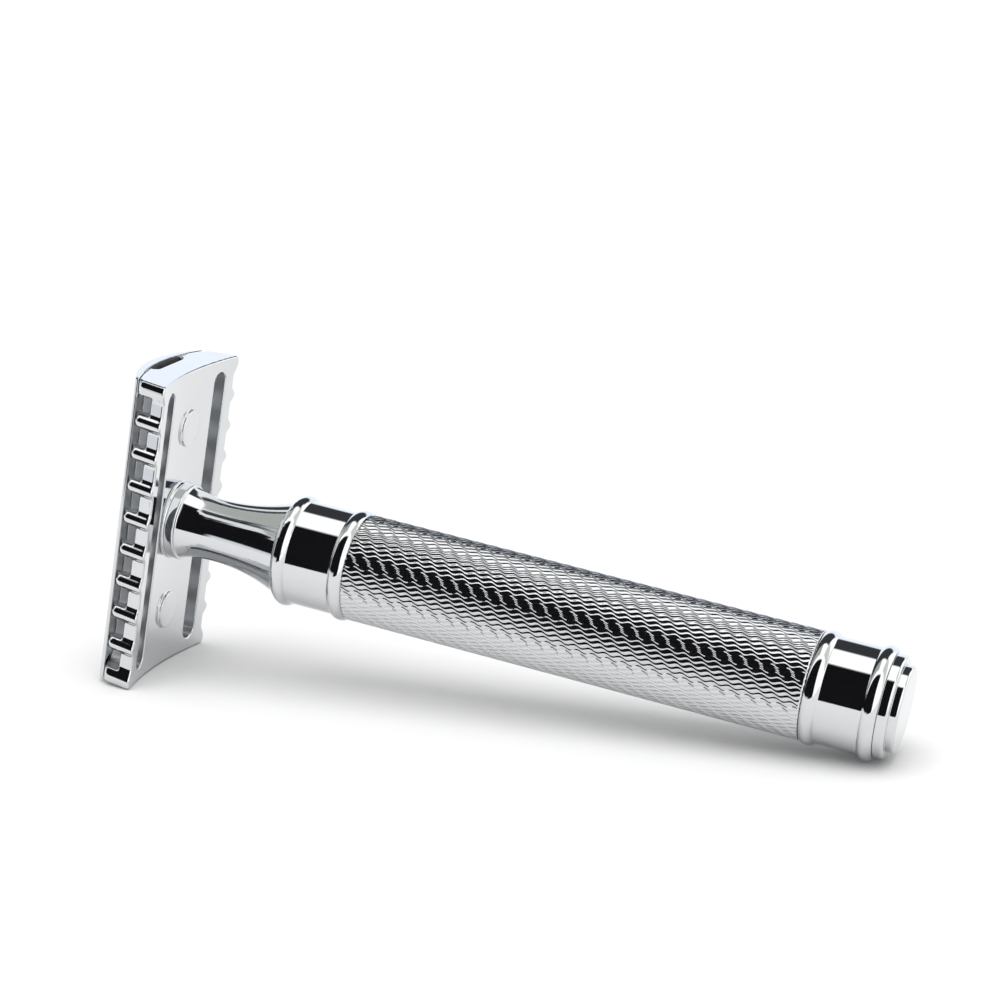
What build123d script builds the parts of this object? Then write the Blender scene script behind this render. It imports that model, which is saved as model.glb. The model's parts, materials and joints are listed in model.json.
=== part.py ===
"""Open-comb safety razor for double-edge blades, lying on the short end of its head and on its foot bead.

Row frame: +Z up with the floor at z = 0, +X from the head to the foot of the handle, and the handle's
axis in the XZ plane, sloping down from the head. All sizes are in millimetres.

Every piece is drawn in the razor's own directions: "along" runs down the handle from the corner plane of
the comb, "height" runs along the head, and "across" runs over the head from comb to comb.
"""

import os
from math import acos, atan2, cos, hypot, sin, sqrt, tan

from build123d import *

os.makedirs("parts", exist_ok=True)

# ------------------------------------------------------------------ head
head_length = 42.6
comb_foot_width = 24.3  # between the comb's outer corners, on the handle side
comb_top_width = 22.2  # between the comb's corners under the cap, before rounding
comb_foot_rounding = 0.5
comb_top_rounding = 1.6
underside_hollow = 1.2  # how far the plate's underside arches up in the middle
dome_radius = 32.1  # the plate's top, where the blade bends over
dome_apex = -6.12

tooth_pitch = 4.48
tooth_width = 1.95
inner_teeth = 8
scallop_depth = 0.75  # depth of the gaps between teeth, along the whole tooth
scallop_rounding = 0.5  # where a gap's floor meets a tooth
nose_radius = 0.78  # the inner teeth are round across
end_nose_radius = 1.35
end_nose_at = 0.94  # from the head's end to the crest of its last tooth
deep_gap_start = -2.3  # from here up to the cap, each gap opens into the lather slot
deep_gap_ramp = 1.0

slot_offset = 7.7
slot_width = 2.8
slot_length = 39.0

tab_recess_width = 9.0  # the hollow at each end, under the blade's tab
tab_recess_floor = -4.9
tab_recess_depth = 5.0
tab_recess_rounding = 1.2

post_offset = 13.1  # the guide posts, from the handle's axis
post_diameter = 3.0
post_tip = -1.45
post_hole_diameter = 3.15
post_hole_floor = -1.35
pad_diameter = 5.2
pad_face = -0.75
pad_rounding = 0.15

seat_boss_diameter = 10.6
boss_rounding = 0.12
seat_plane = -0.75  # where the handle's flange meets the plate
rooting = 1.0  # how deep bosses, pads, posts and the hub start inside the metal they stand on

# ------------------------------------------------------------------ cap, stud and blade
layer_gap = 0.1  # plate to blade, and blade to cap
blade_thickness = 0.1
cap_width = 20.2
cap_apex = -7.9
cap_lip_height = 0.55
cap_lip_rounding = 0.2
cap_hub_diameter = 5.9
cap_hub_tip = -4.95
hub_hole_diameter = 6.4
hub_hole_floor = -4.6

stud_diameter = 5.0  # M5 x 0.8
stud_hole_diameter = 5.3  # in the plate
stud_root = -7.0
stud_tip = 5.6
stud_tip_chamfer = 0.5
stud_running_clearance = 0.05  # on the radius, inside the bush

blade_width = 22.1  # measured along the bent steel
blade_length = 43.0
blade_edge_length = 37.2
blade_tab_width = 13.0
blade_bevel = 0.45
blade_slot_width = 3.4
blade_slot_length = 31.0
blade_eye_diameter = 4.6

# ------------------------------------------------------------------ handle, outside
flange_diameter = 10.5
flange_end = 0.65
flange_step = 0.65  # from the waist out to the foot of the flange
flange_rounding = 0.24
neck_waist_diameter = 8.6
flange_flare_at = 3.4  # from here the waist widens towards the flange
neck_waist_at = 4.8
neck_end_diameter = 13.2
neck_end = 15.7

bead_diameter = 15.2
band_diameter = 14.2
barrel_diameter = 14.5
seam_diameter = 13.4  # of the upper bead, where it meets the neck

upper_bead_end = 17.85
upper_band_end = 24.08
barrel_start = 26.14
barrel_end = 89.0
lower_band_start = 91.05
lower_band_end = 96.68
lower_bead_end = 98.65
knob_step = 100.05
handle_end = 101.2
knob_large_diameter = 13.7
knob_small_diameter = 11.5
knob_rounding = 0.4

# ------------------------------------------------------------------ handle, inside
bush_diameter = 6.8
bush_length = 8.0
spigot_diameter = 9.0  # on the neck and on the knob, inside the ferrules
neck_spigot_end = 23.0
knob_spigot_start = 92.0
register_diameter = 12.2  # on each ferrule, inside the barrel
register_length = 5.0
rod_diameter = 4.0
rod_start = 17.0
rod_end = 98.0

# ------------------------------------------------------------------ how it lies
# The plate's lower corners and the foot bead touch the floor, which sets the handle's slope.
bead_half = (lower_bead_end - lower_band_end) / 2
bead_rise = (bead_diameter - band_diameter) / 2
bead_rounding = (bead_half**2 + bead_rise**2) / (2 * bead_rise)
bead_at = lower_bead_end - bead_half
bead_ring = bead_diameter / 2 - bead_rounding
reach = hypot(head_length / 2 - bead_ring, bead_at)
slope = acos(bead_rounding / reach) - atan2(bead_at, head_length / 2 - bead_ring)

along = Vector(cos(slope), 0, -sin(slope))
height = Vector(sin(slope), 0, cos(slope))
across = Vector(0, -1, 0)

# The origin is on the floor, under the middle of the razor's overall length.
front_end = -head_length / 2 * sin(slope) + cap_apex * cos(slope)
back_end = handle_end * cos(slope) + (knob_small_diameter / 2 - knob_rounding) * sin(slope)
plate_centre = (-(front_end + back_end) / 2, 0, head_length / 2 * cos(slope))

razor = Plane(origin=plate_centre, x_dir=height, z_dir=along)
end_on = Plane(origin=plate_centre, x_dir=across, z_dir=height)
section = Plane(origin=plate_centre, x_dir=along, z_dir=across)
handle_axis = Axis(plate_centre, along)

dome_centre = dome_apex + dome_radius


def bent(radius, across_at):
    """Where a surface bent round the dome's centre stands, at a distance across the head."""
    return dome_centre - sqrt(radius**2 - across_at**2)


def bent_arc(radius, half_width):
    """The end-on arc of such a surface, over the whole width between its two edges."""
    edge = bent(radius, half_width)
    return ThreePointArc((-half_width, edge), (0, dome_centre - radius), (half_width, edge))


# ------------------------------------------------------------------ base plate
foot_half = comb_foot_width / 2
top_half = comb_top_width / 2
top_edge = bent(dome_radius, top_half)
flare = atan2(foot_half - top_half, -top_edge)
comb_slant = hypot(foot_half - top_half, top_edge)
scallop_depth_square = scallop_depth * cos(flare)  # measured square to the comb's face

teeth_row = [tooth_pitch * (i - (inner_teeth - 1) / 2) for i in range(inner_teeth)]
gap_row = [tooth_pitch * (i - inner_teeth / 2) for i in range(inner_teeth + 1)]
gap_width = tooth_pitch - tooth_width
end_crest = head_length / 2 - end_nose_at
cut_margin = 1.0  # how far a cut runs past the metal
deep_gap_in = slot_offset + slot_width / 4


def comb_face(side):
    """A plane square to one comb's teeth at their feet: x along the head, y outwards, normal to the cap."""
    foot = Vector(*plate_centre) + across * side * foot_half
    towards_cap = across * -side * sin(flare) - along * cos(flare)
    return Plane(origin=foot, x_dir=height * -side, z_dir=towards_cap)


with BuildPart() as base_plate:
    with BuildSketch(end_on) as plate_outline:
        with BuildLine():
            bent_arc(dome_radius, top_half)
            Line((top_half, top_edge), (foot_half, 0))
            ThreePointArc((foot_half, 0), (0, -underside_hollow), (-foot_half, 0))
            Line((-foot_half, 0), (-top_half, top_edge))
        make_face()
        fillet(plate_outline.vertices().group_by(Axis.Y)[-1], comb_foot_rounding)
        fillet(plate_outline.vertices().group_by(Axis.Y)[0], comb_top_rounding)
    extrude(amount=head_length / 2, both=True)

    with BuildSketch(razor.offset(post_hole_floor - rooting)):
        with Locations((post_offset, 0), (-post_offset, 0)):
            Circle(pad_diameter / 2)
    extrude(amount=pad_face - post_hole_floor + rooting)

    with BuildSketch(razor.offset(hub_hole_floor)):
        Circle(seat_boss_diameter / 2)
    extrude(amount=seat_plane - hub_hole_floor)
    rims = base_plate.edges().filter_by(GeomType.CIRCLE)
    fillet(rims.filter_by(lambda rim: abs(rim.radius - pad_diameter / 2) < 0.01), pad_rounding)
    fillet(rims.filter_by(lambda rim: abs(rim.radius - seat_boss_diameter / 2) < 0.01), boss_rounding)

    # the gaps between the round teeth: a scallop the whole way up, and a deep part that meets the slot
    for side in (1, -1):
        with BuildSketch(comb_face(side).offset(-cut_margin)) as between_teeth:
            with Locations((0, cut_margin - scallop_depth_square)):
                Rectangle(head_length, 2 * cut_margin)
            with Locations(*[(x, -nose_radius) for x in teeth_row]):
                Circle(nose_radius, mode=Mode.SUBTRACT)
            with Locations((end_crest, -end_nose_radius), (-end_crest, -end_nose_radius)):
                Circle(end_nose_radius, mode=Mode.SUBTRACT)
            fillet(between_teeth.vertices().group_by(Axis.Y)[0], scallop_rounding)
        extrude(amount=comb_slant + 3 * cut_margin, mode=Mode.SUBTRACT)

        wall = side * (foot_half - scallop_depth + deep_gap_start * tan(flare))
        with BuildSketch(*[end_on.offset(x) for x in gap_row]):
            Polygon(
                (side * foot_half, deep_gap_start),
                (wall, deep_gap_start),
                (side * deep_gap_in, deep_gap_start - deep_gap_ramp),
                (side * deep_gap_in, dome_apex),
                (side * foot_half, dome_apex),
                align=None,
            )
        extrude(amount=gap_width / 2, both=True, mode=Mode.SUBTRACT)

    with BuildSketch(razor):
        with Locations((0, slot_offset), (0, -slot_offset)):
            SlotOverall(slot_length, slot_width)
    extrude(amount=-2 * dome_apex, both=True, mode=Mode.SUBTRACT)

    for end in (1, -1):
        with BuildSketch(end_on.offset(end * head_length / 2)):
            with Locations((0, tab_recess_floor - tab_recess_width / 2)):
                RectangleRounded(tab_recess_width, tab_recess_width, tab_recess_rounding)
        extrude(amount=-end * tab_recess_depth, mode=Mode.SUBTRACT)

    with BuildSketch(razor.offset(2 * dome_apex)):
        with Locations((post_offset, 0), (-post_offset, 0)):
            Circle(post_hole_diameter / 2)
    extrude(amount=post_hole_floor - 2 * dome_apex, mode=Mode.SUBTRACT)
    with BuildSketch(razor.offset(2 * dome_apex)):
        Circle(hub_hole_diameter / 2)
    extrude(amount=hub_hole_floor - 2 * dome_apex, mode=Mode.SUBTRACT)
    with BuildSketch(razor):
        Circle(stud_hole_diameter / 2)
    extrude(amount=-dome_apex, both=True, mode=Mode.SUBTRACT)

base_plate.part.label = "base_plate"
export_step(base_plate.part, "parts/base_plate.step")

# ------------------------------------------------------------------ cap
blade_inner = dome_radius + layer_gap
blade_outer = blade_inner + blade_thickness
cap_inner = blade_outer + layer_gap
cap_half = cap_width / 2
lip_top = bent(cap_inner, cap_half) - cap_lip_height
inside_cap = cap_apex + rooting

with BuildPart() as top_cap:
    with BuildSketch(end_on) as cap_outline:
        with BuildLine():
            bent_arc(cap_inner, cap_half)
            Line((cap_half, bent(cap_inner, cap_half)), (cap_half, lip_top))
            ThreePointArc((cap_half, lip_top), (0, cap_apex), (-cap_half, lip_top))
            Line((-cap_half, lip_top), (-cap_half, bent(cap_inner, cap_half)))
        make_face()
        fillet(cap_outline.vertices(), cap_lip_rounding)
    extrude(amount=head_length / 2, both=True)

    with BuildSketch(razor.offset(inside_cap)):
        with Locations((post_offset, 0), (-post_offset, 0)):
            Circle(post_diameter / 2)
    extrude(amount=post_tip - inside_cap)
    with BuildSketch(razor.offset(inside_cap)):
        Circle(cap_hub_diameter / 2)
    extrude(amount=cap_hub_tip - inside_cap)
    with BuildSketch(razor.offset(stud_root)):
        Circle(stud_diameter / 2)
    extrude(amount=-2 * stud_root, mode=Mode.SUBTRACT)

top_cap.part.label = "top_cap"
export_step(top_cap.part, "parts/top_cap.step")

with BuildPart() as threaded_stud:
    with BuildSketch(razor.offset(stud_root)):
        Circle(stud_diameter / 2)
    extrude(amount=stud_tip - stud_root)
    chamfer(threaded_stud.faces().sort_by(handle_axis)[-1].edges(), stud_tip_chamfer)

threaded_stud.part.label = "threaded_stud"
export_step(threaded_stud.part, "parts/threaded_stud.step")

# ------------------------------------------------------------------ blade
blade_middle = (blade_inner + blade_outer) / 2


def on_blade(radius, from_middle):
    """A point of the blade's section, by its distance from the middle measured along the steel."""
    turn = from_middle / blade_middle
    return (radius * sin(turn), dome_centre - radius * cos(turn))


blade_half = blade_width / 2
bevel_start = blade_half - blade_bevel
notch = blade_length - blade_edge_length

with BuildPart() as double_edge_blade:
    with BuildSketch(end_on):
        with BuildLine():
            outer_left, outer_right = on_blade(blade_outer, -bevel_start), on_blade(blade_outer, bevel_start)
            inner_left, inner_right = on_blade(blade_inner, -bevel_start), on_blade(blade_inner, bevel_start)
            edge_left, edge_right = on_blade(blade_middle, -blade_half), on_blade(blade_middle, blade_half)
            ThreePointArc(outer_left, on_blade(blade_outer, 0), outer_right)
            Polyline(outer_right, edge_right, inner_right)
            ThreePointArc(inner_right, on_blade(blade_inner, 0), inner_left)
            Polyline(inner_left, edge_left, outer_left)
        make_face()
    extrude(amount=blade_length / 2, both=True)
    with BuildSketch(razor):
        with GridLocations(blade_length, blade_tab_width + blade_width, 2, 2):
            Rectangle(notch, blade_width)
        SlotOverall(blade_slot_length, blade_slot_width)
        Circle(hub_hole_diameter / 2)
        with Locations((post_offset, 0), (-post_offset, 0)):
            Circle(blade_eye_diameter / 2)
    extrude(amount=-2 * dome_apex, both=True, mode=Mode.SUBTRACT)

double_edge_blade.part.label = "double_edge_blade"
export_step(double_edge_blade.part, "parts/double_edge_blade.step")

# ------------------------------------------------------------------ handle
bush_end = seat_plane + bush_length
neck_waist = neck_waist_diameter / 2
neck_end_radius = neck_end_diameter / 2
flange = flange_diameter / 2
bush = bush_diameter / 2
spigot = spigot_diameter / 2
rod = rod_diameter / 2
register = register_diameter / 2
band = band_diameter / 2
bead = bead_diameter / 2

with BuildPart() as neck:
    with BuildSketch(section) as neck_half:
        with BuildLine():
            Polyline((bush_end, 0), (bush_end, bush), (seat_plane, bush), (seat_plane, flange))
            Polyline((seat_plane, flange), (flange_end, flange), (flange_end, neck_waist + flange_step))
            TangentArc((flange_flare_at, neck_waist), (flange_end, neck_waist + flange_step), tangent=(-1, 0))
            Line((flange_flare_at, neck_waist), (neck_waist_at, neck_waist))
            TangentArc((neck_waist_at, neck_waist), (neck_end, neck_end_radius), tangent=(1, 0))
            Polyline((neck_end, neck_end_radius), (neck_end, spigot), (neck_spigot_end, spigot))
            Polyline((neck_spigot_end, spigot), (neck_spigot_end, rod), (rod_start, rod), (rod_start, 0))
            Line((rod_start, 0), (bush_end, 0))
        make_face()
        fillet(neck_half.vertices().group_by(Axis.Y)[-2], flange_rounding)
    revolve(axis=handle_axis)

neck.part.label = "neck"
export_step(neck.part, "parts/neck.step")

with BuildPart() as thread_bush:
    with BuildSketch(razor.offset(seat_plane)):
        Circle(bush)
        Circle(stud_diameter / 2 + stud_running_clearance, mode=Mode.SUBTRACT)
    extrude(amount=bush_length)

thread_bush.part.label = "thread_bush"
export_step(thread_bush.part, "parts/thread_bush.step")

with BuildPart() as upper_ferrule:
    with BuildSketch(section):
        register_end = barrel_start + register_length
        upper_bead_top = (neck_end + upper_bead_end) / 2
        upper_ring_top = (upper_band_end + barrel_start) / 2
        with BuildLine():
            Line((neck_end, spigot), (neck_end, seam_diameter / 2))
            ThreePointArc((neck_end, seam_diameter / 2), (upper_bead_top, bead), (upper_bead_end, band))
            Line((upper_bead_end, band), (upper_band_end, band))
            ThreePointArc((upper_band_end, band), (upper_ring_top, bead), (barrel_start, band))
            Polyline((barrel_start, band), (barrel_start, register), (register_end, register))
            Polyline((register_end, register), (register_end, rod), (neck_spigot_end, rod))
            Polyline((neck_spigot_end, rod), (neck_spigot_end, spigot), (neck_end, spigot))
        make_face()
    revolve(axis=handle_axis)

upper_ferrule.part.label = "upper_ferrule"
export_step(upper_ferrule.part, "parts/upper_ferrule.step")

with BuildPart() as grip_barrel:
    with BuildSketch(razor.offset(barrel_start)):
        Circle(barrel_diameter / 2)
        Circle(register, mode=Mode.SUBTRACT)
    extrude(amount=barrel_end - barrel_start)

grip_barrel.part.label = "grip_barrel"
export_step(grip_barrel.part, "parts/grip_barrel.step")

with BuildPart() as lower_ferrule:
    with BuildSketch(section):
        register_start = barrel_end - register_length
        lower_ring_top = (barrel_end + lower_band_start) / 2
        with BuildLine():
            Polyline((knob_spigot_start, rod), (register_start, rod), (register_start, register))
            Polyline((register_start, register), (barrel_end, register), (barrel_end, band))
            ThreePointArc((barrel_end, band), (lower_ring_top, bead), (lower_band_start, band))
            Line((lower_band_start, band), (lower_band_end, band))
            ThreePointArc((lower_band_end, band), (bead_at, bead), (lower_bead_end, band))
            Polyline((lower_bead_end, band), (lower_bead_end, spigot), (knob_spigot_start, spigot))
            Line((knob_spigot_start, spigot), (knob_spigot_start, rod))
        make_face()
    revolve(axis=handle_axis)

lower_ferrule.part.label = "lower_ferrule"
export_step(lower_ferrule.part, "parts/lower_ferrule.step")

with BuildPart() as end_knob:
    with BuildSketch(section) as knob_half:
        large, small = knob_large_diameter / 2, knob_small_diameter / 2
        with BuildLine():
            Polyline((rod_end, 0), (rod_end, rod), (knob_spigot_start, rod), (knob_spigot_start, spigot))
            Polyline((knob_spigot_start, spigot), (lower_bead_end, spigot), (lower_bead_end, large))
            Polyline((lower_bead_end, large), (knob_step, large), (knob_step, small), (handle_end, small))
            Polyline((handle_end, small), (handle_end, 0), (rod_end, 0))
        make_face()
        fillet(knob_half.vertices().group_by(Axis.Y)[-1].sort_by(Axis.X)[-1], knob_rounding)
        fillet(knob_half.vertices().group_by(Axis.X)[-1].sort_by(Axis.Y)[-1], knob_rounding)
    revolve(axis=handle_axis)

end_knob.part.label = "end_knob"
export_step(end_knob.part, "parts/end_knob.step")

with BuildPart() as tie_rod:
    with BuildSketch(razor.offset(rod_start)):
        Circle(rod)
    extrude(amount=rod_end - rod_start)

tie_rod.part.label = "tie_rod"
export_step(tie_rod.part, "parts/tie_rod.step")
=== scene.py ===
"""Looks of the open-comb safety razor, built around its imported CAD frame.

Shapes are worked out in millimetres in the razor's own directions, with the same driving sizes as the CAD:
u runs along the head, w across it towards the viewer's comb, and t down the handle from the comb's corners.
"""

import json
from math import atan2, cos, hypot, pi, radians, sin, sqrt, tan

import bpy
import numpy as np
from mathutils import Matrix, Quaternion, Vector


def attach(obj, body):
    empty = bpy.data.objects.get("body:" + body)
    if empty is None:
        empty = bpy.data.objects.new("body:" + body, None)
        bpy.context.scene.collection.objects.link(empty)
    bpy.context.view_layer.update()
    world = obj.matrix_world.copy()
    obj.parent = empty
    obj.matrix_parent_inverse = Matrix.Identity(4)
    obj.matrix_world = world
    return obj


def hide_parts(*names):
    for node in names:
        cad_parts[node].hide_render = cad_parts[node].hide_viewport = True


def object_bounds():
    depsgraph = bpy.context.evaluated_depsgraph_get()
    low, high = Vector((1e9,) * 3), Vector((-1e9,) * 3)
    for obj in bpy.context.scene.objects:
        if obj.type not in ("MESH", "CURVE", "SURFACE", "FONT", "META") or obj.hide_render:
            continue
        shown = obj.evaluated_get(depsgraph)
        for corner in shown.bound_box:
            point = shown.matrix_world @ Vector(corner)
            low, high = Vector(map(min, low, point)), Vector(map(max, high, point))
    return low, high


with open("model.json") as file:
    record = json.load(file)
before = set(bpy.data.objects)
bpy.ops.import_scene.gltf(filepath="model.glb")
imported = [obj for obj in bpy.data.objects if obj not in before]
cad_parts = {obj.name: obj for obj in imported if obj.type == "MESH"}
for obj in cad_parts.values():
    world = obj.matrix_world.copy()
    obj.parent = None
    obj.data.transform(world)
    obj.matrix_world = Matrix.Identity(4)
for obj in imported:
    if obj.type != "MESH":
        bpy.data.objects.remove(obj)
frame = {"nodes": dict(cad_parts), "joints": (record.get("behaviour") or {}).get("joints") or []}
cad_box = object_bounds()

MM = 0.001
ON_AXIS = 1e-6  # a turned outline's points closer than this to the axis lie on it

# ------------------------------------------------------------------ sizes, in millimetres
seat_plane = -0.75  # where the handle meets the plate, on the axis that the handle turns about

head_half = 42.6 / 2
foot_half = 24.3 / 2
top_half = 22.2 / 2
underside_hollow = 1.2
dome_radius = 32.1
dome_apex = -6.12
tooth_pitch = 4.48
tooth_width = 1.95
outer_gap = 4  # gaps are numbered from -outer_gap to outer_gap
scallop_depth = 0.75
scallop_hollow = 0.6  # rounding where a gap's floor meets a tooth
nose_radius = 0.78  # of the inner teeth, which are round across
end_nose_radius = 1.35
end_nose_at = 0.94  # from the head's end to the crest of its last tooth
deep_gap_start = -2.3
deep_gap_ramp = 1.0
slot_offset = 7.7
slot_width = 2.8
slot_length = 39.0
recess_half_width = 4.5
recess_floor = -4.9
recess_depth = 5.0
post_offset = 13.1
pad_radius = 2.6
pad_face = -0.75
boss_radius = 5.3
comb_top_rounding = 0.6
comb_foot_rounding = 0.5
plate_end_rounding = 0.2
opening_rounding = 0.2  # of the lather slots and of the gaps' deep parts
ramp_rounding = 0.3  # where a deep gap's floor meets its sides
ramp_steepness = 0.92  # turns a height above the ramp into a distance from it
pad_rounding = 0.15
boss_rounding = 0.2
boss_foot_rounding = 0.12
recess_rounding = 1.2
recess_end_rounding = 0.4
hole_rounding = 0.15
rooting_depth = -4.0  # bosses and pads start inside the plate's metal, from here
post_hole_radius = 1.575
post_hole_floor = -1.35
hub_hole_radius = 3.2
hub_hole_floor = -4.6
stud_hole_radius = 2.65

cap_half = 20.2 / 2
cap_apex = -7.9
cap_lip_height = 0.55
cap_edge_rounding = 0.15
cap_side_rounding = 0.22
cap_end_rounding = 0.25
cap_fillet = 0.3  # at the foot of the posts and of the hub
cap_rooting = 0.8  # posts and hub start inside the cap's metal, this far under its top
layer_gap = 0.1
closing = 0.09  # how much closer than the CAD solids the clamped plate, blade and cap are shown
post_radius = 1.5
post_tip = -1.45
post_rounding = 0.35
hub_radius = 2.95
hub_tip = -4.95
hub_rounding = 0.18
stud_bore_radius = 2.5
stud_bore_rounding = 0.1
blade_thickness = 0.1
blade_half = 22.1 / 2
blade_length = 43.0
blade_edge_length = 37.2
blade_tab_half = 6.5
blade_bevel = 0.45
blade_rounding = 0.1  # of the outer corners and of the openings' edges
blade_notch_rounding = 0.6
blade_edge_share = 0.15  # of the thickness, left at the cutting edge
blade_face_rounding = 0.01
blade_channel_half = 13.8  # from the middle of the blade to where its long slot starts to round off
blade_channel_radius = 1.7
blade_eye_radius = 2.3
blade_hub_radius = 3.2
blade_arm_at, blade_arm_half_width, blade_arm_reach = 6.6, 0.9, 2.6  # the short slots across the long one

stud_radius = 2.48
stud_core = 2.02
stud_root = -7.0
stud_tip = 5.6
stud_chamfer = 0.5
stud_thread_start = -4.6
thread_pitch = 0.8
root_share = 1 / 8  # of the pitch, on the flat floor of the thread
flank_share = 5 / 16  # of the pitch, on each of its slopes

flange = 5.25
flange_end = 0.65
flange_back_rounding = 0.15
flange_rounding = 0.24
neck_waist = 4.3
neck_waist_at = 4.8
flare_rise = 0.65  # from the waist up to the foot of the flange
flare_power = 2.5
neck_end = 15.7
neck_end_radius = 6.6
neck_seam_step = 0.05  # on the radius, where the neck meets the upper bead
seam_radius = 6.7
bead = 7.6
band = 7.1
barrel = 7.25
upper_bead_end = 17.85
upper_band_end = 24.08
barrel_start = 26.14
barrel_end = 89.0
lower_band_start = 91.05
lower_band_end = 96.68
lower_bead_end = 98.65
knob_step = 100.05
handle_end = 101.2
knob_large = 6.85
knob_small = 5.75
knob_rounding = 0.4
knob_back_rounding = 0.1
knob_step_rounding = 0.05

bush = 3.4
bush_mouth_rounding = 0.1
bush_end = seat_plane + 8.0
spigot = 4.5
neck_spigot_end = 23.0
knob_spigot_start = 92.0
register = 6.1
register_length = 5.0
rod = 2.0
rod_start = 17.0
rod_end = 98.0

# the barrel's engraving: wavy lines that run down the handle
engraved_lines = 78
wave_length = 2.07
wave_height = 0.18
wave_drift = 19  # whole waves by which the lines have shifted after one turn round the barrel
groove_depth = 0.08
points_per_line = 6
points_per_wave = 6.8  # with points_per_line, keeps the barrel under 200,000 triangles

# ------------------------------------------------------------------ directions
turn = next(joint for joint in frame["joints"] if joint["name"] == "handle_turn")
along = np.array(turn["axis"])
height = np.array((-along[2], 0.0, along[0]))
across = np.array((0.0, -1.0, 0.0))
centre = np.array(turn["pos_m"]) / MM - along * seat_plane
razor_axes = np.array((height, across, along))


def to_row(points):
    """Points (u, w, t) in millimetres, as row-frame points in metres."""
    return (np.asarray(points) @ razor_axes + centre) * MM


# ------------------------------------------------------------------ mesh helpers
def add_mesh(name, points, faces, normals=None, smooth_faces=None):
    """A mesh object from razor points. Its first smooth_faces faces are smooth, or all of them."""
    mesh = bpy.data.meshes.new(name)
    mesh.from_pydata(to_row(points).tolist(), [], faces)
    count = len(mesh.polygons)
    mesh.polygons.foreach_set("use_smooth", np.arange(count) < (smooth_faces or count))
    if normals is not None:
        mesh.normals_split_custom_set_from_vertices((np.asarray(normals) @ razor_axes).tolist())
    mesh.validate()
    mesh.update()
    piece = bpy.data.objects.new(name, mesh)
    bpy.context.collection.objects.link(piece)
    return piece


def outward(piece):
    """Turns all faces of a closed mesh outwards."""
    mesh = piece.data
    mesh.calc_loop_triangles()
    corners = np.array([v.co for v in mesh.vertices])
    triangles = np.array([t.vertices for t in mesh.loop_triangles])
    a, b, c = corners[triangles[:, 0]], corners[triangles[:, 1]], corners[triangles[:, 2]]
    if np.einsum("ij,ij->i", a, np.cross(b, c)).sum() < 0:
        mesh.flip_normals()
    return piece


def ring_faces(near, far, around):
    """The quads between two rings of points, given the number of each ring's first point."""
    here = np.arange(around)
    after = (here + 1) % around
    return np.stack((near + here, far + here, far + after, near + after), 1).tolist()


def mark_dull(piece, amount):
    """How dull the polish is at each point of a mesh, from 0 to 1; where a finish has dull_shade below 1, it
    is also how much painted shade darkens the colour there.
    """
    dull = piece.data.attributes.new("dull", "FLOAT", "POINT")
    dull.data.foreach_set("value", np.asarray(amount, np.float32))


def settle(piece, node, body, material):
    """Finishes a piece: it stands for a CAD node, rides on a body and takes a slot's finish."""
    piece.data.materials.append(material)
    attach(piece, body)
    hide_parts(node)
    return piece


# ------------------------------------------------------------------ turned pieces
def arc(start, middle, end, steps=14):
    """Points of the arc through three points (t, r), without its last one."""
    (ax, ay), (bx, by), (cx, cy) = start, middle, end
    double = 2 * (ax * (by - cy) + bx * (cy - ay) + cx * (ay - by))
    a2, b2, c2 = ax * ax + ay * ay, bx * bx + by * by, cx * cx + cy * cy
    ox = (a2 * (by - cy) + b2 * (cy - ay) + c2 * (ay - by)) / double
    oy = (a2 * (cx - bx) + b2 * (ax - cx) + c2 * (bx - ax)) / double
    first, last = atan2(ay - oy, ax - ox), atan2(cy - oy, cx - ox)
    sweep = (last - first + pi) % (2 * pi) - pi
    radius = hypot(ax - ox, ay - oy)
    turns = [first + sweep * i / steps for i in range(steps)]
    return [(ox + radius * cos(a), oy + radius * sin(a)) for a in turns]


def rounded(before, corner, after, radius, steps=5):
    """The corner (t, r) between two straight stretches, rounded."""
    p, a, b = np.array(corner), np.array(before), np.array(after)
    to_a, to_b = (a - p) / np.linalg.norm(a - p), (b - p) / np.linalg.norm(b - p)
    half = np.arccos(np.clip(to_a @ to_b, -1, 1)) / 2
    start, end = p + to_a * radius / tan(half), p + to_b * radius / tan(half)
    out = (to_a + to_b) / np.linalg.norm(to_a + to_b)
    middle = p + out * (radius / sin(half) - radius)
    return arc(start, middle, end, steps) + [tuple(end)]


def outline(*corners):
    """A closed outline. Each entry is a corner (t, r), a corner with its rounding, or a list of points."""
    ends = [c if isinstance(c, tuple) else None for c in corners]
    points = []
    for i, corner in enumerate(corners):
        if isinstance(corner, list):
            points += corner
        elif len(corner) == 2:
            points.append(corner)
        else:
            before = ends[i - 1][:2] if ends[i - 1] else corners[i - 1][-1]
            following = corners[(i + 1) % len(corners)]
            after = following[0] if isinstance(following, list) else following[:2]
            points += rounded(before, corner[:2], after, corner[2])
    return points


def supported(points, reach=0.03, long_from=0.18):
    """The outline with a point close to each end of every long stretch, so that edges shade crisply."""
    result = []
    for here, after in zip(points, points[1:] + points[:1]):
        length = hypot(after[0] - here[0], after[1] - here[1])
        result.append(here)
        if length > long_from:
            for share in (reach / length, 1 - reach / length):
                result.append(tuple(a + (b - a) * share for a, b in zip(here, after)))
    return result


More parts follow.
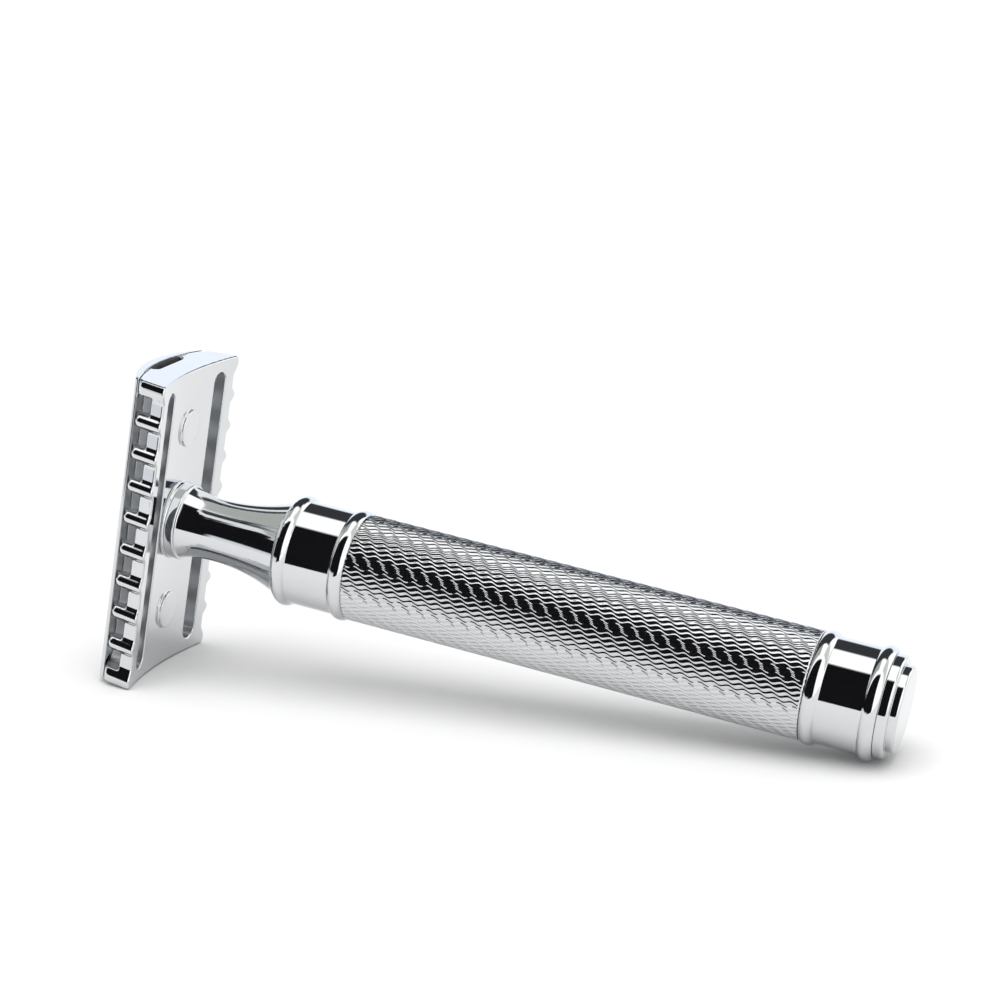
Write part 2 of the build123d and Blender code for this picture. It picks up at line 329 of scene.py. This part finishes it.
def turned(name, points, around=192):
    """A closed outline (t, r) turned round the handle's axis."""
    points = [(t, max(r, 0.0)) for t, r in supported(points)]
    angles = np.arange(around) * 2 * pi / around
    vertices, rings = [], []
    for t, r in points:
        if r < ON_AXIS:
            rings.append([len(vertices)])
            vertices.append((0.0, 0.0, t))
        else:
            rings.append(list(range(len(vertices), len(vertices) + around)))
            vertices += [(r * sin(a), r * cos(a), t) for a in angles]
    faces = []
    for near, far in zip(rings, rings[1:] + rings[:1]):
        if len(near) == len(far) == 1:
            continue
        for i in range(around):
            j = (i + 1) % around
            if len(near) == 1:
                faces.append((near[0], far[j], far[i]))
            elif len(far) == 1:
                faces.append((near[i], near[j], far[0]))
            else:
                faces.append((near[i], near[j], far[j], far[i]))
    return outward(add_mesh(name, vertices, faces))


# ------------------------------------------------------------------ pieces given by a distance field
def inside_both(a, b, rounding):
    """The field of what is inside both a and b, with the edge between them rounded."""
    corner = np.hypot(np.maximum(a + rounding, 0), np.maximum(b + rounding, 0))
    return np.minimum(np.maximum(a, b), -rounding) + corner


def inside_either(a, b, rounding):
    """The field of what is inside a or b, with the corner between them filled to a radius."""
    return -inside_both(-a, -b, rounding)


def cut(a, b, rounding):
    """The field of a with b taken out of it, and the new edge rounded."""
    return inside_both(a, -b, rounding)


def skin(field, low, high, steps, settling_steps=4, shallowest=0.2):
    """The surface where a field is zero: its points, quads and normals, as a net over a regular grid."""
    axes = [np.arange(l, h + s, s) for l, h, s in zip(low, high, steps)]
    shape = tuple(len(a) for a in axes)
    values = np.empty(shape, np.float32)
    for i, first in enumerate(axes[0]):
        values[i] = field(first, axes[1][:, None], axes[2][None, :])
    inner = values < 0
    total = np.zeros(tuple(n - 1 for n in shape) + (3,), np.float32)
    count = np.zeros(tuple(n - 1 for n in shape), np.float32)
    crossings = []
    for axis in range(3):
        near = [slice(None)] * 3
        far = [slice(None)] * 3
        near[axis], far[axis] = slice(0, -1), slice(1, None)
        a, b = values[tuple(near)], values[tuple(far)]
        crossed = inner[tuple(near)] != inner[tuple(far)]
        crossings.append((np.argwhere(crossed), inner[tuple(near)][crossed]))
        share = np.where(crossed, a / np.where(crossed, a - b, 1), 0)
        others = [k for k in range(3) if k != axis]
        for first in (0, 1):
            for second in (0, 1):
                window = [slice(None)] * 3
                window[others[0]] = slice(first, shape[others[0]] - 1 + first)
                window[others[1]] = slice(second, shape[others[1]] - 1 + second)
                hit = crossed[tuple(window)]
                count += hit
                total[..., axis] += share[tuple(window)]
                total[..., others[0]] += first * hit
                total[..., others[1]] += second * hit
    filled = count > 0
    number = np.full(count.shape, -1)
    number[filled] = np.arange(filled.sum())
    cells = np.argwhere(filled)
    spacing = np.array(steps)
    points = np.array(low) + (cells + total[filled] / count[filled][:, None]) * spacing
    faces = []
    for axis, (edges, starts_inside) in enumerate(crossings):
        one, two = [(1, 2), (2, 0), (0, 1)][axis]
        corners = []
        for back_one, back_two in ((1, 1), (0, 1), (0, 0), (1, 0)):
            cell = edges.copy()
            cell[:, one] -= back_one
            cell[:, two] -= back_two
            corners.append(number[cell[:, 0], cell[:, 1], cell[:, 2]])
        quads = np.stack(corners, 1)
        quads[~starts_inside] = quads[~starts_inside][:, ::-1]
        faces.append(quads)
    for _ in range(settling_steps):
        value, slope = field_slope(field, points)
        steepness = np.maximum((slope**2).sum(1), shallowest)
        points = points - slope * (value / steepness)[:, None]
    slope = field_slope(field, points)[1]
    return points, np.concatenate(faces).tolist(), slope / np.linalg.norm(slope, axis=1)[:, None]


def field_slope(field, points, reach=0.004):
    """A field's value and slope at points."""
    slope = []
    for axis in range(3):
        shift = np.zeros(3)
        shift[axis] = reach
        ahead, behind = field(*(points + shift).T), field(*(points - shift).T)
        slope.append((ahead - behind) / (2 * reach))
    return field(*points.T), np.stack(slope, 1)


dome_centre = dome_apex + dome_radius
arch_radius = (foot_half**2 + underside_hollow**2) / (2 * underside_hollow)
top_edge = dome_centre - sqrt(dome_radius**2 - top_half**2)
flare = atan2(foot_half - top_half, -top_edge)


def nearest_gap(u):
    """How far a place along the head is from the middle of the nearest gap between teeth."""
    return np.abs(u - np.clip(np.round(u / tooth_pitch), -outer_gap, outer_gap) * tooth_pitch)


def lather_ways(u, w, t):
    """What the lather slots and the deep parts of the gaps take out of the plate."""
    side = np.abs(w)
    slot_end = (slot_length - slot_width) / 2
    slot = np.hypot(np.maximum(np.abs(u) - slot_end, 0), side - slot_offset) - slot_width / 2
    gap = nearest_gap(u) - (tooth_pitch - tooth_width) / 2
    wall = foot_half - scallop_depth + deep_gap_start * tan(flare)
    root = slot_offset + slot_width / 4
    ramp = t - deep_gap_start + deep_gap_ramp * (wall - side) / (wall - root)
    deep_gap = inside_both(gap + 0 * ramp, ramp * ramp_steepness, ramp_rounding)
    return inside_either(slot, np.maximum(deep_gap, root - side), opening_rounding)


def plate_field(u, w, t):
    """The comb plate: a dome over an arch, with teeth, slots, pads, boss and holes."""
    side = np.abs(w)
    dome = np.hypot(w, t - dome_centre) - dome_radius - closing
    arch = arch_radius - np.hypot(w, t - arch_radius + underside_hollow)
    face = (side - foot_half) * cos(flare) - t * sin(flare)
    tooth = np.abs(nearest_gap(u) - tooth_pitch / 2)
    last = np.abs(u) - head_half + end_nose_at
    inner_nose = np.hypot(tooth, np.maximum(face + nose_radius, 0)) - nose_radius
    end_nose = np.hypot(last, np.maximum(face + end_nose_radius, 0)) - end_nose_radius
    nose = np.where(np.abs(u) > outer_gap * tooth_pitch, end_nose, inner_nose)
    comb = inside_either(face + scallop_depth * cos(flare), nose, scallop_hollow)
    body = inside_both(comb, dome, comb_top_rounding)
    body = inside_both(body, arch, comb_foot_rounding)
    body = inside_both(body, np.abs(u) - head_half + 0 * body, plate_end_rounding)

    deep = rooting_depth - t
    from_post, from_axis = np.hypot(np.abs(u) - post_offset, w), np.hypot(u, w)
    pad = inside_both(from_post - pad_radius, t - pad_face, pad_rounding)
    body = inside_either(body, np.maximum(pad, deep), pad_rounding)
    boss = inside_both(from_axis - boss_radius, t - seat_plane, boss_rounding)
    body = inside_either(body, np.maximum(boss, deep), boss_foot_rounding)

    body = cut(body, lather_ways(u, w, t), opening_rounding)
    recess = inside_both(side - recess_half_width, t - recess_floor, recess_rounding)
    recess = inside_both(recess, head_half - recess_depth - np.abs(u), recess_end_rounding)
    body = cut(body, recess, hole_rounding)
    post_hole = np.maximum(from_post - post_hole_radius, t - post_hole_floor)
    hub_hole = np.maximum(from_axis - hub_hole_radius, t - hub_hole_floor)
    stud_hole = from_axis - stud_hole_radius + 0 * t
    return cut(body, np.minimum(np.minimum(post_hole, hub_hole), stud_hole), hole_rounding)


blade_middle = dome_radius + layer_gap + blade_thickness / 2
cap_inner = blade_middle + blade_thickness / 2 + layer_gap - closing
lip_top = dome_centre - sqrt(cap_inner**2 - cap_half**2) - cap_lip_height
cap_rise = lip_top - cap_apex
cap_radius = (cap_half**2 + cap_rise**2) / (2 * cap_rise)


def cap_field(u, w, t):
    """The cap: a shell between two arcs, with two guide posts and a hub that holds the stud."""
    outer = np.hypot(w, t - cap_apex - cap_radius) - cap_radius
    inner = cap_inner - np.hypot(w, t - dome_centre)
    body = inside_both(outer, inner, cap_edge_rounding)
    body = inside_both(body, np.abs(w) - cap_half + 0 * body, cap_side_rounding)
    body = inside_both(body, np.abs(u) - head_half + 0 * body, cap_end_rounding)
    inside = cap_apex + cap_rooting - t
    from_post, from_axis = np.hypot(np.abs(u) - post_offset, w), np.hypot(u, w)
    post = inside_both(from_post - post_radius, t - post_tip, post_rounding)
    hub = inside_both(from_axis - hub_radius, t - hub_tip, hub_rounding)
    body = inside_either(body, np.maximum(post, inside), cap_fillet)
    body = inside_either(body, np.maximum(hub, inside), cap_fillet)
    return cut(body, np.maximum(from_axis - stud_bore_radius, stud_root - t), stud_bore_rounding)


def blade_field(u, s, n):
    """The flat blade before it is bent: u along it, s across it and n through the steel."""
    across_blade, from_middle = np.abs(s), np.abs(u)
    notch = np.maximum(blade_edge_length / 2 - from_middle, blade_tab_half - across_blade)
    plan = inside_both(from_middle - blade_length / 2, across_blade - blade_half, blade_rounding)
    plan = cut(plan, notch, blade_notch_rounding)
    channel = np.hypot(np.maximum(from_middle - blade_channel_half, 0), s) - blade_channel_radius
    eyes = np.hypot(from_middle - post_offset, s) - blade_eye_radius
    hub = np.hypot(u, s) - blade_hub_radius
    side_arms = np.abs(from_middle - blade_arm_at) - blade_arm_half_width
    side_arms = np.maximum(side_arms, across_blade - blade_arm_reach)
    opening = np.minimum(np.minimum(channel, eyes), np.minimum(hub, side_arms))
    plan = cut(plan, opening, blade_rounding)
    taper = np.clip((blade_half - across_blade) / blade_bevel, blade_edge_share, 1)
    return inside_both(plan + 0 * n, np.abs(n) - taper * blade_thickness / 2, blade_face_rounding)


def bend_blade(points, normals):
    """Bends the flat blade over the plate's dome."""
    u, s, n = points.T
    angle, radius = s / blade_middle, blade_middle + n
    bent = np.stack((u, radius * np.sin(angle), dome_centre - radius * np.cos(angle)), 1)
    nu, ns, nn = normals.T
    w = ns * np.cos(angle) + nn * np.sin(angle)
    t = ns * np.sin(angle) - nn * np.cos(angle)
    return bent, np.stack((nu, w, t), 1)


# ------------------------------------------------------------------ materials
def new_material(name):
    """A node material, with its node tree, its surface shader and a function that adds linked nodes."""
    material = bpy.data.materials.new(name)
    material.use_nodes = True
    tree = material.node_tree
    shader = tree.nodes["Principled BSDF"]

    def node(kind, settings=None, **inputs):
        made = tree.nodes.new(kind)
        for key, value in (settings or {}).items():
            setattr(made, key, value)
        for key, value in inputs.items():
            socket = made.inputs[key.replace("_", " ")]
            if isinstance(value, bpy.types.NodeSocket):
                tree.links.new(value, socket)
            else:
                socket.default_value = value
        return made

    return material, tree, shader, node


def ramp(tree, node, source, *stops):
    """A colour ramp over a value; each stop is (position, grey or colour)."""
    made = node("ShaderNodeValToRGB", Fac=source)
    elements = made.color_ramp.elements
    for i, (position, value) in enumerate(stops):
        element = elements[i] if i < 2 else elements.new(position)
        element.position = position
        element.color = (*value, 1) if isinstance(value, tuple) else (value, value, value, 1)
    return made.outputs["Color"]


def chrome_finish(name, dull_roughness=0.0, dull_shade=1.0):
    """Polished chrome plate: faint smudges, wiping marks and hairlines, and duller where the mesh says so,
    with painted shade darkening the colour there when dull_shade is below 1.
    """
    material, tree, shader, node = new_material(name)

    def added(a, b):
        made = node("ShaderNodeMath", {"operation": "ADD"})
        tree.links.new(a, made.inputs[0])
        tree.links.new(b, made.inputs[1])
        return made.outputs[0]

    place = node("ShaderNodeTexCoord").outputs["Object"]
    smudge = node("ShaderNodeTexNoise", Vector=place, Scale=140.0, Detail=5.0, Roughness=0.62).outputs["Fac"]
    wiped = node("ShaderNodeMapping", Vector=place, Scale=(900.0, 5200.0, 5200.0)).outputs["Vector"]
    hairline = node("ShaderNodeTexNoise", Vector=wiped, Scale=1.0, Detail=3.0, Roughness=0.6).outputs["Fac"]
    gloss = ramp(tree, node, smudge, (0.35, 0.035), (0.62, 0.05), (0.8, 0.10))
    lines = ramp(tree, node, hairline, (0.45, 0.0), (0.75, 0.035))
    rough = added(gloss, lines)
    tint = ramp(tree, node, smudge, (0.3, (0.665, 0.677, 0.690)), (0.75, (0.635, 0.648, 0.662)))
    if dull_roughness:
        dull_and_shaded_share = node("ShaderNodeAttribute", {"attribute_name": "dull"}).outputs["Fac"]
        rough = added(rough, ramp(tree, node, dull_and_shaded_share, (0.3, 0.0), (1.0, dull_roughness)))
        # painted shade: the colour is darkened where the mesh's dull attribute is high
        shade = node("ShaderNodeMix", {"data_type": "RGBA", "blend_type": "MULTIPLY"})
        shade.inputs[0].default_value = 1.0
        tree.links.new(tint, shade.inputs[6])
        tree.links.new(ramp(tree, node, dull_and_shaded_share, (0.4, 1.0), (1.0, dull_shade)), shade.inputs[7])
        tint = shade.outputs[2]
    tree.links.new(tint, shader.inputs["Base Color"])
    tree.links.new(rough, shader.inputs["Roughness"])
    shader.inputs["Metallic"].default_value = 1.0
    bump = node("ShaderNodeBump", Height=hairline, Strength=0.02, Distance=0.00002)
    tree.links.new(bump.outputs["Normal"], shader.inputs["Normal"])
    return material


def steel_finish(name, colour, direction, roughness):
    """Ground steel: fine lines stretched along one direction, over slow changes of tone."""
    material, tree, shader, node = new_material(name)
    place = node("ShaderNodeTexCoord").outputs["Object"]
    stretched = node("ShaderNodeMapping", Vector=place, Scale=direction).outputs["Vector"]
    grain = node("ShaderNodeTexNoise", Vector=stretched, Scale=1.0, Detail=4.0, Roughness=0.7).outputs["Fac"]
    cloud = node("ShaderNodeTexNoise", Vector=place, Scale=220.0, Detail=3.0).outputs["Fac"]
    dark = tuple(0.82 * c for c in colour)
    tree.links.new(ramp(tree, node, cloud, (0.3, dark), (0.7, colour)), shader.inputs["Base Color"])
    low, high = roughness
    tree.links.new(ramp(tree, node, grain, (0.3, low), (0.7, high)), shader.inputs["Roughness"])
    shader.inputs["Metallic"].default_value = 1.0
    bump = node("ShaderNodeBump", Height=grain, Strength=0.06, Distance=0.00003)
    tree.links.new(bump.outputs["Normal"], shader.inputs["Normal"])
    return material


chrome = chrome_finish("chrome")
# the engraved grooves: duller polish, and painted shade that darkens their colour to 0.86
engraved_chrome = chrome_finish("engraved_chrome", 0.05, 0.86)
cast_chrome = chrome_finish("cast_chrome", 0.24)
blade_steel = steel_finish("blade_steel", (0.72, 0.73, 0.74), (300.0, 9000.0, 300.0), (0.32, 0.42))
stud_steel = steel_finish("stud_steel", (0.58, 0.58, 0.58), (9000.0, 400.0, 400.0), (0.2, 0.38))
brass = steel_finish("turned_brass", (0.78, 0.60, 0.30), (9000.0, 400.0, 400.0), (0.18, 0.34))

# ------------------------------------------------------------------ head
margin = 0.37  # of each grid round its piece
plate_grid = 0.183  # keeps the plate under 200,000 triangles
plate_points, plate_quads, plate_normals = skin(
    plate_field,
    (-head_half - margin, -foot_half - margin, dome_apex - margin),
    (head_half + margin, foot_half + margin, margin),
    (plate_grid, plate_grid, plate_grid),
)
plate = add_mesh("comb_plate", plate_points, plate_quads, plate_normals)
dull_reach = 0.2  # how far the dull walls of the slots and gaps reach round their edges
from_opening = np.clip(lather_ways(*plate_points.T), 0, dull_reach)
mark_dull(plate, 1 - from_opening / dull_reach)
settle(plate, "base_plate", "plate", cast_chrome)

cap = add_mesh(
    "domed_cap",
    *skin(
        cap_field,
        (-head_half - margin, -cap_half - margin, cap_apex - margin),
        (head_half + margin, cap_half + margin, post_tip + margin),
        (0.2, 0.2, 0.15),
    ),
)
settle(cap, "top_cap", "cap", chrome)

blade_grid_reach = 0.15  # of the grid, to either side of the flat blade's middle
flat_points, blade_quads, flat_normals = skin(
    blade_field,
    (-blade_length / 2 - margin, -blade_half - margin, -blade_grid_reach),
    (blade_length / 2 + margin, blade_half + margin, blade_grid_reach),
    (0.2, 0.15, 0.034),
)
bent_points, bent_normals = bend_blade(flat_points, flat_normals)
blade = add_mesh("razor_blade", bent_points, [quad[::-1] for quad in blade_quads], bent_normals)
settle(blade, "double_edge_blade", "blade", blade_steel)


def add_stud():
    """The cap's stud, with its M5 thread and a chamfered tip."""
    around, rows_per_turn = 96, 20
    rows = np.arange(stud_root, stud_tip + 1e-6, thread_pitch / rows_per_turn)
    rows[-1] = stud_tip
    angle = np.arange(around) * 2 * pi / around
    t, a = np.meshgrid(rows, angle, indexing="ij")
    phase = (t / thread_pitch - a / (2 * pi)) % 1.0
    from_root = 0.5 - np.abs(phase - 0.5)
    ridge = np.clip((from_root - root_share / 2) / flank_share, 0, 1)
    r = stud_core + (stud_radius - stud_core) * ridge
    r = np.where(t < stud_thread_start, stud_radius, r)
    r = np.minimum(r, stud_radius - stud_chamfer + np.maximum(stud_tip - t, 0))
    ring = np.stack((r * np.sin(a), r * np.cos(a), t), -1).reshape(-1, 3)
    points = np.concatenate((ring, [(0, 0, stud_root), (0, 0, stud_tip)]))
    root_middle, tip_middle = len(ring), len(ring) + 1
    tip_ring = len(ring) - around
    faces = []
    for start in range(0, tip_ring, around):
        faces += ring_faces(start, start + around, around)
    faces += [(root_middle, i, (i + 1) % around) for i in range(around)]
    faces += [(tip_middle, tip_ring + (i + 1) % around, tip_ring + i) for i in range(around)]
    return outward(add_mesh("stud_with_thread", points, faces))


settle(add_stud(), "threaded_stud", "cap", stud_steel)


# ------------------------------------------------------------------ handle
def flange_flare(steps=32):
    """Points of the neck from its flange to its waist."""
    run = neck_waist_at - flange_end
    shares = np.linspace(1, 0, steps)
    return [(neck_waist_at - share * run, neck_waist + flare_rise * share**flare_power) for share in shares]


def neck_arc(steps=32):
    """Points of the neck from just past its waist, where the arc is level, almost to its end."""
    run, rise = neck_end - neck_waist_at, neck_end_radius - neck_waist
    radius = (run**2 + rise**2) / (2 * rise)
    stretch = np.linspace(neck_waist_at + 0.3, neck_end - 0.1, steps)
    return [(t, neck_waist + radius - sqrt(radius**2 - (t - neck_waist_at) ** 2)) for t in stretch]


neck_outline = outline(
    (bush_end, 0.0),
    (bush_end, bush),
    (seat_plane, bush, bush_mouth_rounding),
    (seat_plane, flange, flange_back_rounding),
    (flange_end, flange, flange_rounding),
    flange_flare(),
    neck_arc(),
    (neck_end, neck_end_radius - neck_seam_step),
    (neck_end, spigot),
    (neck_spigot_end, spigot),
    (neck_spigot_end, rod),
    (rod_start, rod),
    (rod_start, 0.0),
)
settle(turned("flared_neck", neck_outline, around=384), "neck", "handle", chrome)

bead_a = arc((neck_end, seam_radius), ((neck_end + upper_bead_end) / 2, bead), (upper_bead_end, band))
bead_b = arc((upper_band_end, band), ((upper_band_end + barrel_start) / 2, bead), (barrel_start, band))
upper_outline = outline(
    (neck_end, spigot),
    bead_a,
    (upper_bead_end, band),
    bead_b,
    (barrel_start, band),
    (barrel_start, register),
    (barrel_start + register_length, register),
    (barrel_start + register_length, rod),
    (neck_spigot_end, rod),
    (neck_spigot_end, spigot),
)
settle(turned("upper_collar", upper_outline), "upper_ferrule", "handle", chrome)

bead_c = arc((barrel_end, band), ((barrel_end + lower_band_start) / 2, bead), (lower_band_start, band))
bead_d = arc((lower_band_end, band), ((lower_band_end + lower_bead_end) / 2, bead), (lower_bead_end, band))
lower_outline = outline(
    (knob_spigot_start, rod),
    (barrel_end - register_length, rod),
    (barrel_end - register_length, register),
    (barrel_end, register),
    bead_c,
    (lower_band_start, band),
    bead_d,
    (lower_bead_end, band),
    (lower_bead_end, spigot),
    (knob_spigot_start, spigot),
)
settle(turned("lower_collar", lower_outline), "lower_ferrule", "handle", chrome)

knob_outline = outline(
    (rod_end, 0.0),
    (rod_end, rod),
    (knob_spigot_start, rod),
    (knob_spigot_start, spigot),
    (lower_bead_end, spigot),
    (lower_bead_end, knob_large, knob_back_rounding),
    (knob_step, knob_large, knob_rounding),
    (knob_step, knob_small, knob_step_rounding),
    (handle_end, knob_small, knob_rounding),
    (handle_end, 0.0),
)
settle(turned("stepped_foot", knob_outline), "end_knob", "handle", chrome)


def add_barrel():
    """The grip tube, with its wavy engraved lines cut into the mesh."""
    around = engraved_lines * points_per_line
    rows = round((barrel_end - barrel_start) / wave_length * points_per_wave) + 1
    t = np.linspace(barrel_start, barrel_end, rows)[:, None]
    line = np.arange(around) * 2 * pi / around
    wave = wave_height / barrel * np.sin(2 * pi * t / wave_length + wave_drift * line)
    depth = (1 - np.cos(engraved_lines * line)) / 2 + 0 * t
    radius = barrel - groove_depth * depth
    angle = line + wave
    outer = np.stack((radius * np.sin(angle), radius * np.cos(angle), t + 0 * angle), -1)
    bore = np.stack((register * np.sin(line), register * np.cos(line), 0 * line), -1)
    inner_start, inner_end = bore + (0, 0, barrel_start), bore + (0, 0, barrel_end)
    points = np.concatenate((outer, inner_end[None], inner_start[None])).reshape(-1, 3)
    faces = []
    for start in range(0, len(points), around):
        faces += ring_faces(start, (start + around) % len(points), around)
    piece = add_mesh("engraved_grip", points, faces, smooth_faces=(rows - 1) * around)
    # the groove depth sets duller polish and painted shade in the grooves
    mark_dull(piece, np.concatenate((depth.ravel(), np.zeros(2 * around))))
    return outward(piece)


settle(add_barrel(), "grip_barrel", "handle", engraved_chrome)

for node_name, finish in (("thread_bush", brass), ("tie_rod", stud_steel)):
    for material_slot in frame["nodes"][node_name].material_slots:
        material_slot.material = finish


# ------------------------------------------------------------------ floor, light and camera
def add_floor():
    """A plain pale floor in two stretches: the razor mirrors only the one that it lies on."""
    reach, level, edge = 3.0, cad_box[0][2], -0.1
    material, tree, shader, node = new_material("white_floor")
    place = node("ShaderNodeTexCoord").outputs["Object"]
    cloud = node("ShaderNodeTexNoise", Vector=place, Scale=3.0, Detail=2.0).outputs["Fac"]
    tree.links.new(ramp(tree, node, cloud, (0.3, 0.64), (0.7, 0.655)), shader.inputs["Base Color"])
    shader.inputs["Roughness"].default_value = 0.9
    shader.inputs["Specular IOR Level"].default_value = 0.1
    for name, near, far in (("floor", edge, reach), ("front_floor", -reach, edge)):
        mesh = bpy.data.meshes.new(name)
        corners = [(-reach, near, level), (reach, near, level), (reach, far, level), (-reach, far, level)]
        mesh.from_pydata(corners, [], [(0, 1, 2, 3)])
        mesh.materials.append(material)
        floor = bpy.data.objects.new(name, mesh)
        bpy.context.collection.objects.link(floor)
        floor.visible_glossy = name == "floor"


def add_studio():
    """White light all round and a broad light above, and for reflections a studio with soft boxes."""
    world = bpy.data.worlds.new("studio")
    bpy.context.scene.world = world
    world.use_nodes = True
    tree = world.node_tree
    background = tree.nodes["Background"]
    direction = tree.nodes.new("ShaderNodeTexCoord").outputs["Generated"]
    parts = tree.nodes.new("ShaderNodeSeparateXYZ")
    tree.links.new(direction, parts.inputs[0])

    def math(operation, a, b):
        """A math node over two values or sockets."""
        made = tree.nodes.new("ShaderNodeMath")
        made.operation = operation
        for socket, value in zip(made.inputs, (a, b)):
            if isinstance(value, bpy.types.NodeSocket):
                tree.links.new(value, socket)
            else:
                socket.default_value = value
        return made.outputs[0]

    def bands(*stops):
        """A colour for each angle, in degrees: 0 in front, 90 overhead, 180 behind."""
        made = tree.nodes.new("ShaderNodeValToRGB")
        tree.links.new(turn_share, made.inputs["Fac"])
        elements = made.color_ramp.elements
        for i, (degrees, colour) in enumerate(stops):
            position = (degrees + 180) / 360
            element = elements[i] if i < 2 else elements.new(position)
            element.position = position
            element.color = (*colour, 1)
        return made.outputs["Color"]

    def blend(share, a, b):
        """Colour a where the share is 0, and b where it is 1."""
        made = tree.nodes.new("ShaderNodeMix")
        made.data_type = "RGBA"
        tree.links.new(share, made.inputs[0])
        tree.links.new(a, made.inputs[6])
        tree.links.new(b, made.inputs[7])
        return made.outputs[2]

    def from_side(value, start, end):
        """A share that grows from 0 to 1 as the value goes from start to end."""
        made = tree.nodes.new("ShaderNodeMapRange")
        tree.links.new(value, made.inputs["Value"])
        made.inputs["From Min"].default_value, made.inputs["From Max"].default_value = start, end
        return made.outputs["Result"]

    # the direction's turn about the x axis; and its x, shifted so that the right wall slants in low down
    forward = math("MULTIPLY", parts.outputs["Y"], -1.0)
    angle = math("ARCTAN2", parts.outputs["Z"], forward)
    turn_share = math("ADD", math("DIVIDE", angle, 2 * pi), 0.5)
    below = math("MINIMUM", math("MAXIMUM", math("MULTIPLY", angle, -0.5), 0.0), 0.52)
    slanted = math("ADD", parts.outputs["X"], below)
    # the studio in stretches along x: the left wall, what the neck mirrors, the middle and the right wall
    white, pale, grey = (1.0, 1.0, 1.0), (0.72, 0.77, 0.84), (0.58, 0.60, 0.63)
    dark, shade = (0.005, 0.005, 0.006), (0.03, 0.031, 0.034)
    green_grey, light_green = (0.326, 0.335, 0.308), (0.54, 0.55, 0.505)
    behind = [(116, shade), (153, shade), (158, pale), (180, pale)]
    front = [(-180, pale), (-62, pale), (-58, dark), (72, dark), (76, white)]
    room = bands(*front, (112, white), *behind)
    wall = [(-180, grey), (-4, grey), (-1, dark), (72, dark), (76, white), (84, white)]
    neck_room = bands(*front, (84, white), (88, green_grey), (112, green_grey), *behind)
    left_room = bands(*wall, (88, green_grey), (112, green_grey), *behind)
    green_stretch = [(88, light_green), (122, light_green)]
    right_room = bands((-180, white), (82, white), *green_stretch, (128, white), (180, white))
    down_handle = math("ADD", parts.outputs["X"], math("MULTIPLY", parts.outputs["Z"], -0.14))
    seen_room = blend(from_side(down_handle, -0.350, -0.365), room, neck_room)
    seen_room = blend(from_side(parts.outputs["X"], -0.38, -0.46), seen_room, left_room)
    seen_room = blend(from_side(slanted, 0.36, 0.43), seen_room, right_room)
    seen = tree.nodes.new("ShaderNodeBackground")
    seen.inputs["Strength"].default_value = 1.6
    tree.links.new(seen_room, seen.inputs["Color"])
    background.inputs["Color"].default_value = (1.0, 1.0, 1.0, 1)
    background.inputs["Strength"].default_value = 1.08
    path = tree.nodes.new("ShaderNodeLightPath")
    mix = tree.nodes.new("ShaderNodeMixShader")
    tree.links.new(path.outputs["Is Glossy Ray"], mix.inputs[0])
    tree.links.new(background.outputs[0], mix.inputs[1])
    tree.links.new(seen.outputs[0], mix.inputs[2])
    tree.links.new(mix.outputs[0], tree.nodes["World Output"].inputs["Surface"])

    lamp = bpy.data.lights.new("broad_light", "SUN")
    lamp.angle, lamp.energy = radians(60), 2.16
    light = bpy.data.objects.new("broad_light", lamp)
    light.rotation_euler = (radians(15), 0.0, 0.0)
    light.visible_glossy = False
    bpy.context.collection.objects.link(light)
    bpy.context.scene.view_settings.view_transform = "Standard"


def add_camera():
    """The photograph's viewpoint: a 102 mm lens, to the right of the razor and a little above it."""
    place = Vector((115.0, -338.8, 120.5)) * MM
    aim = Vector((0.2, 0.0, 28.8)) * MM
    roll = radians(1.285)
    data = bpy.data.cameras.new("camera")
    data.lens = 101.6
    data.sensor_width = 36.0
    data.clip_start, data.clip_end = 0.01, 20.0
    camera = bpy.data.objects.new("camera", data)
    camera.location = place
    look = (aim - place).to_track_quat("-Z", "Y")
    camera.rotation_mode = "QUATERNION"
    camera.rotation_quaternion = look @ Quaternion((0.0, 0.0, 1.0), roll)
    bpy.context.collection.objects.link(camera)
    bpy.context.scene.camera = camera


add_floor()
add_studio()
add_camera()
